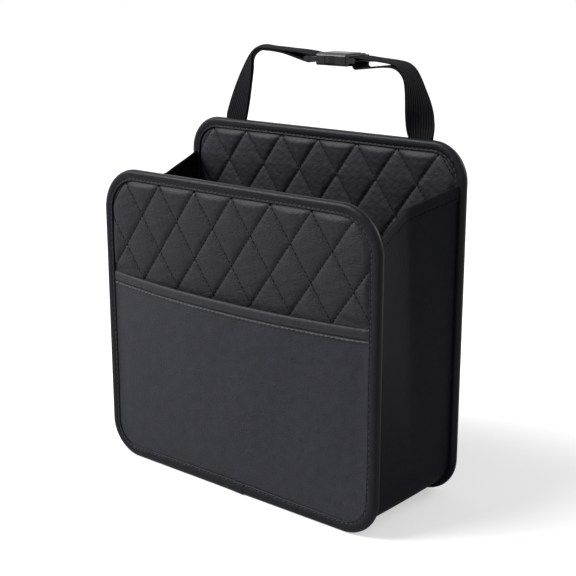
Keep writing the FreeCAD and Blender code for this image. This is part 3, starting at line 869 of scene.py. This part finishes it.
STRAP_COUNT = 90
LOOP_COUNT = 18
RIB_HIGH = 0.14
RIB_COUNT = 11.0
SELVAGE_FROM = 0.93
BOX_IN = 2.5
BOX_STITCH = {"pitch": 3.0, "long": 2.2, "radius": 0.3}


def strap(name, side, base_x, guide, spread, loop, turn_share, turn):
    """One length of webbing doubled through a buckle bar, twisting from its sewn ends."""
    y_tail = Y_BACK + CORE_HALF + WEB_THICK + WEB_PLY_GAP / 2
    z_flap = BACK_H - BIND_FACE
    stations = []
    rise, inner = np.array([0, 0, 1.0]), np.array([-side, 0, 0.0])
    for z in np.linspace(z_flap - TAIL_LONG, BACK_H, 24)[:-1]:
        y = y_tail + (Y_STRAP - y_tail) * float(smoothstep(z_flap - 5.0, z_flap - 0.5, z))
        stations.append((np.array([base_x, y, z]), rise, inner, PLY))
    path, tangent = spline(guide, STRAP_COUNT)
    turn_end = turn_share * (STRAP_COUNT - 1)
    for k in range(STRAP_COUNT):
        p = np.array([path[k, 0], Y_STRAP, path[k, 1]])
        t = np.array([tangent[k, 0], 0.0, tangent[k, 1]])
        f = min(1.0, k / turn_end)
        phi = math.pi / 2 * turn(f)
        w = np.array([-side * math.cos(phi), -math.sin(phi), 0.0])
        w -= t * w.dot(t)
        w /= np.linalg.norm(w)
        run = max(0.0, (k - turn_end) / (STRAP_COUNT - 1 - turn_end))
        stations.append((p, t, w, PLY + spread(run)))
    rows = []
    for p, t, w, gap in stations:
        n = np.cross(t, w) * side
        rows.append((p + n * gap, w, n))
    cx, cz, rx, rz = loop
    for k in range(1, LOOP_COUNT):
        a = math.pi * k / LOOP_COUNT
        n = np.array([-side * math.sin(a), 0.0, math.cos(a)])
        rows.append((np.array([cx + n[0] * rx, Y_STRAP, cz + n[2] * rz]), np.array([0, -1.0, 0]), n))
    for p, t, w, gap in reversed(stations):
        n = np.cross(t, w) * side
        rows.append((p - n * gap, w, -n))
    across = np.linspace(-1, 1, 45)
    selvage = np.clip(np.abs(across) - SELVAGE_FROM, 0, 1) / (1.0 - SELVAGE_FROM)
    rib = RIB_HIGH * np.cos(across * math.pi * RIB_COUNT) - 0.3 * selvage
    rings, lengths = [], [0.0]
    for k, (p, w, n) in enumerate(rows):
        spots = [(p + w * (WEB_WIDE / 2) * s, n * (WEB_THICK / 2 + r)) for s, r in zip(across, rib)]
        rings.append([spot + up for spot, up in spots] + [spot - up for spot, up in spots[::-1]])
        if k:
            lengths.append(lengths[-1] + float(np.linalg.norm(p - rows[k - 1][0])))
    m = len(rings[0])
    obj = ring_mesh(name, rings, WEB, False)
    flat_u = list(across) + list(across[::-1])
    uv = obj.data.uv_layers.new(name="strap_uv")
    for loop_item in obj.data.loops:
        k, q = divmod(loop_item.vertex_index, m)
        uv.data[loop_item.index].uv = ((flat_u[q] + 1) * WEB_WIDE / 20, lengths[k] / 10)
    box = []
    z0, z1 = z_flap - TAIL_LONG + 3.0, z_flap - 6.5
    x0, x1 = base_x - WEB_WIDE / 2 + BOX_IN, base_x + WEB_WIDE / 2 - BOX_IN
    y_sew = y_tail + PLY + WEB_THICK / 2 + 0.12
    corners = [(x0, z0), (x1, z0), (x1, z1), (x0, z1), (x0, z0)]
    crossed = [((x0, z0), (x1, z1)), ((x0, z1), (x1, z0))]
    for (ax, az), (bx, bz) in list(zip(corners[:-1], corners[1:])) + crossed:
        t = np.linspace(0, 1, 30)
        points = np.stack([ax + (bx - ax) * t, np.full(30, y_sew), az + (bz - az) * t], 1)
        box.append((points, np.tile([0.0, 1.0, 0.0], (30, 1)), BOX_STITCH))
    return obj, thread_object(name + "_box_thread", box, THREAD), lengths[-1]


SOCKET_BAR_X = -6.9
PLUG_BAR_X = 40.0
LOOP_SAG = 3.6
LOOP_SLACK = 0.9
BAR_FIT = 0.25
WRAP_LEFT = 2.0 + BAR_FIT + WEB_THICK / 2
WRAP_RIGHT = 1.7 + BAR_FIT + WEB_THICK / 2
SAG_Z = BUCKLE_Z - LOOP_SAG / 2
GUIDE_LEFT = [(-STRAP_OUT_LEFT, BACK_H), (-86.5, 303.0), (-78.5, 324.5), (-72.5, 334.8), (-65.0, 339.2),
              (-54.0, 340.2), (-30.0, 338.6), (SOCKET_BAR_X, BUCKLE_Z)]
GUIDE_RIGHT = [(STRAP_OUT_RIGHT, BACK_H), (92.8, 299.0), (88.8, 315.5), (83.8, 326.8), (77.0, 332.2),
               (69.0, 333.6), (55.0, 333.5), (PLUG_BAR_X, SAG_Z)]
strap_left, left_box, left_long = strap(
    "strap_left_web", -1, -STRAP_OUT_LEFT, GUIDE_LEFT,
    lambda r: (WRAP_LEFT - PLY) * math.sin(r * math.pi / 2) ** 1.5,
    (SOCKET_BAR_X, BUCKLE_Z, WRAP_LEFT, WRAP_LEFT), 0.75, lambda f: f ** 1.5)
strap_right, right_box, right_long = strap(
    "strap_right_web", 1, STRAP_OUT_RIGHT, GUIDE_RIGHT,
    lambda r: (WRAP_RIGHT + LOOP_SAG / 2 - PLY) * r ** 1.5,
    (PLUG_BAR_X, SAG_Z, WRAP_RIGHT + LOOP_SLACK, WRAP_RIGHT + LOOP_SAG / 2),
    0.50, lambda f: 1 - (1 - f) ** 1.6)


# Materials and soft edges on the rigid CAD pieces

def dress(node, material, bevel):
    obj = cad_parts[node]
    obj.data.materials.clear()
    obj.data.materials.append(material)
    if bevel:
        rounding = obj.modifiers.new("soft_edge", "BEVEL")
        rounding.width = bevel * MM
        rounding.segments = 3
        rounding.limit_method = "ANGLE"
        rounding.angle_limit = math.radians(40)


for node in ("buckle_socket", "buckle_plug", "plug_arm_front", "plug_arm_rear"):
    dress(node, BUCKLE, 0.35)
dress("front_board", BOARD, 0.0)
dress("back_board", BOARD, 0.0)


# What each piece stands for and rides on

STANDS_FOR = {
    front_quilt: ("front_quilt_panel", "leather_quilted"),
    back_quilt: ("back_quilt_panel", "leather_quilted"),
    front_edge: ("front_binding", "leather_binding"),
    back_edge: ("back_binding", "leather_binding"),
    pocket_sheet: ("front_pocket", "leather_pocket"),
    gusset: ("gusset_strip", "leather_gusset"),
    hem_right: ("gusset_hem_right", "leather_binding"),
    hem_left: ("gusset_hem_left", "leather_binding"),
    lining: ("front_lining", "lining"),
    cover: ("back_cover", "leather_gusset"),
    base: ("base_board", "base_board"),
    strap_left: ("strap_left", "webbing"),
    strap_right: ("strap_right", "webbing"),
}
for piece, (node, slot) in STANDS_FOR.items():
    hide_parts(node)
    if piece is not strap_right:
        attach(piece, "bag")
for piece in (front_seams, back_seams, front_edge_thread, back_edge_thread, pocket_thread,
              hem_right_thread, hem_left_thread, left_box, right_box):
    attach(piece, "bag")
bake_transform(strap_right)


# Stage: floor, lights, world and camera

FLOOR_HALF = 9
FLOOR_GREY = 0.6
FLOOR_LIFT = 0.52
SKY_LIGHT = 0.24
CAMERA_YAW = 40.08
CAMERA_PITCH = 15.12
CAMERA_LENS = 75.5
CAMERA_PLACE = (0.6064, Y_FRONT * MM - 0.6553, 0.4088)


def stage_floor():
    """Pale floor, lifted to white for the camera only."""
    mesh = bpy.data.meshes.new("floor")
    far = FLOOR_HALF
    mesh.from_pydata([(-far, -far, 0), (far, -far, 0), (far, far, 0), (-far, far, 0)], [], [(0, 1, 2, 3)])
    obj = bpy.data.objects.new("floor", mesh)
    bpy.context.scene.collection.objects.link(obj)
    mat, tree, bsdf = new_material("pale_floor")
    bsdf.inputs["Base Color"].default_value = (FLOOR_GREY, FLOOR_GREY, FLOOR_GREY, 1.0)
    bsdf.inputs["Roughness"].default_value = 0.95
    bsdf.inputs["Emission Color"].default_value = (1.0, 1.0, 1.0, 1.0)
    path = tree.nodes.new("ShaderNodeLightPath")
    lift = add(tree, "ShaderNodeMath", operation="MULTIPLY")
    lift.inputs[1].default_value = FLOOR_LIFT
    tree.links.new(path.outputs["Is Camera Ray"], lift.inputs[0])
    tree.links.new(lift.outputs["Value"], bsdf.inputs["Emission Strength"])
    obj.data.materials.append(mat)


def area_light(name, place, target, size, power):
    data = bpy.data.lights.new(name, "AREA")
    data.energy = power
    data.size = size
    obj = bpy.data.objects.new(name, data)
    obj.location = place
    aim = Vector(target) - Vector(place)
    obj.rotation_euler = aim.to_track_quat("-Z", "Y").to_euler()
    bpy.context.scene.collection.objects.link(obj)


def sun_light(name, toward, strength, spread):
    data = bpy.data.lights.new(name, "SUN")
    data.energy = strength
    data.angle = math.radians(spread)
    obj = bpy.data.objects.new(name, data)
    obj.rotation_euler = (-Vector(toward)).to_track_quat("-Z", "Y").to_euler()
    bpy.context.scene.collection.objects.link(obj)


def white_world():
    """White to the camera and in reflections, and a weak soft light otherwise."""
    world = bpy.data.worlds.new("studio")
    world.use_nodes = True
    bpy.context.scene.world = world
    tree = world.node_tree
    tree.nodes.clear()
    path = tree.nodes.new("ShaderNodeLightPath")
    seen = add(tree, "ShaderNodeMath", operation="MAXIMUM")
    sharp = add(tree, "ShaderNodeMath", operation="MAXIMUM")
    tree.links.new(path.outputs["Is Glossy Ray"], sharp.inputs[0])
    tree.links.new(path.outputs["Is Transmission Ray"], sharp.inputs[1])
    tree.links.new(path.outputs["Is Camera Ray"], seen.inputs[0])
    tree.links.new(sharp.outputs["Value"], seen.inputs[1])
    white = add(tree, "ShaderNodeBackground", Color=(1, 1, 1, 1), Strength=1.0)
    soft = add(tree, "ShaderNodeBackground", Color=(0.95, 0.97, 1.0, 1), Strength=SKY_LIGHT)
    mix = tree.nodes.new("ShaderNodeMixShader")
    out = tree.nodes.new("ShaderNodeOutputWorld")
    tree.links.new(seen.outputs["Value"], mix.inputs["Fac"])
    tree.links.new(soft.outputs["Background"], mix.inputs[1])
    tree.links.new(white.outputs["Background"], mix.inputs[2])
    tree.links.new(mix.outputs["Shader"], out.inputs["Surface"])


def photo_camera():
    """Camera fitted to the photograph's panel outlines."""
    yaw, pitch = math.radians(CAMERA_YAW), math.radians(CAMERA_PITCH)
    data = bpy.data.cameras.new("camera")
    data.sensor_width = 36.0
    data.lens = CAMERA_LENS
    obj = bpy.data.objects.new("camera", data)
    ahead = Vector((-math.sin(yaw) * math.cos(pitch), math.cos(yaw) * math.cos(pitch), -math.sin(pitch)))
    obj.location = CAMERA_PLACE
    obj.rotation_euler = ahead.to_track_quat("-Z", "Y").to_euler()
    bpy.context.scene.collection.objects.link(obj)
    bpy.context.scene.camera = obj


stage_floor()
sun_light("daylight", (-0.75, -0.80, 1.30), 3.1, 30.0)
area_light("key", (-1.3, -1.2, 1.2), (0, 0, 0.2), 0.8, 26.0)
area_light("rear_fill", (0.9, 1.6, 1.0), (0, 0, 0.2), 0.9, 14.0)
white_world()
photo_camera()
bpy.context.scene.view_settings.view_transform = "Standard"
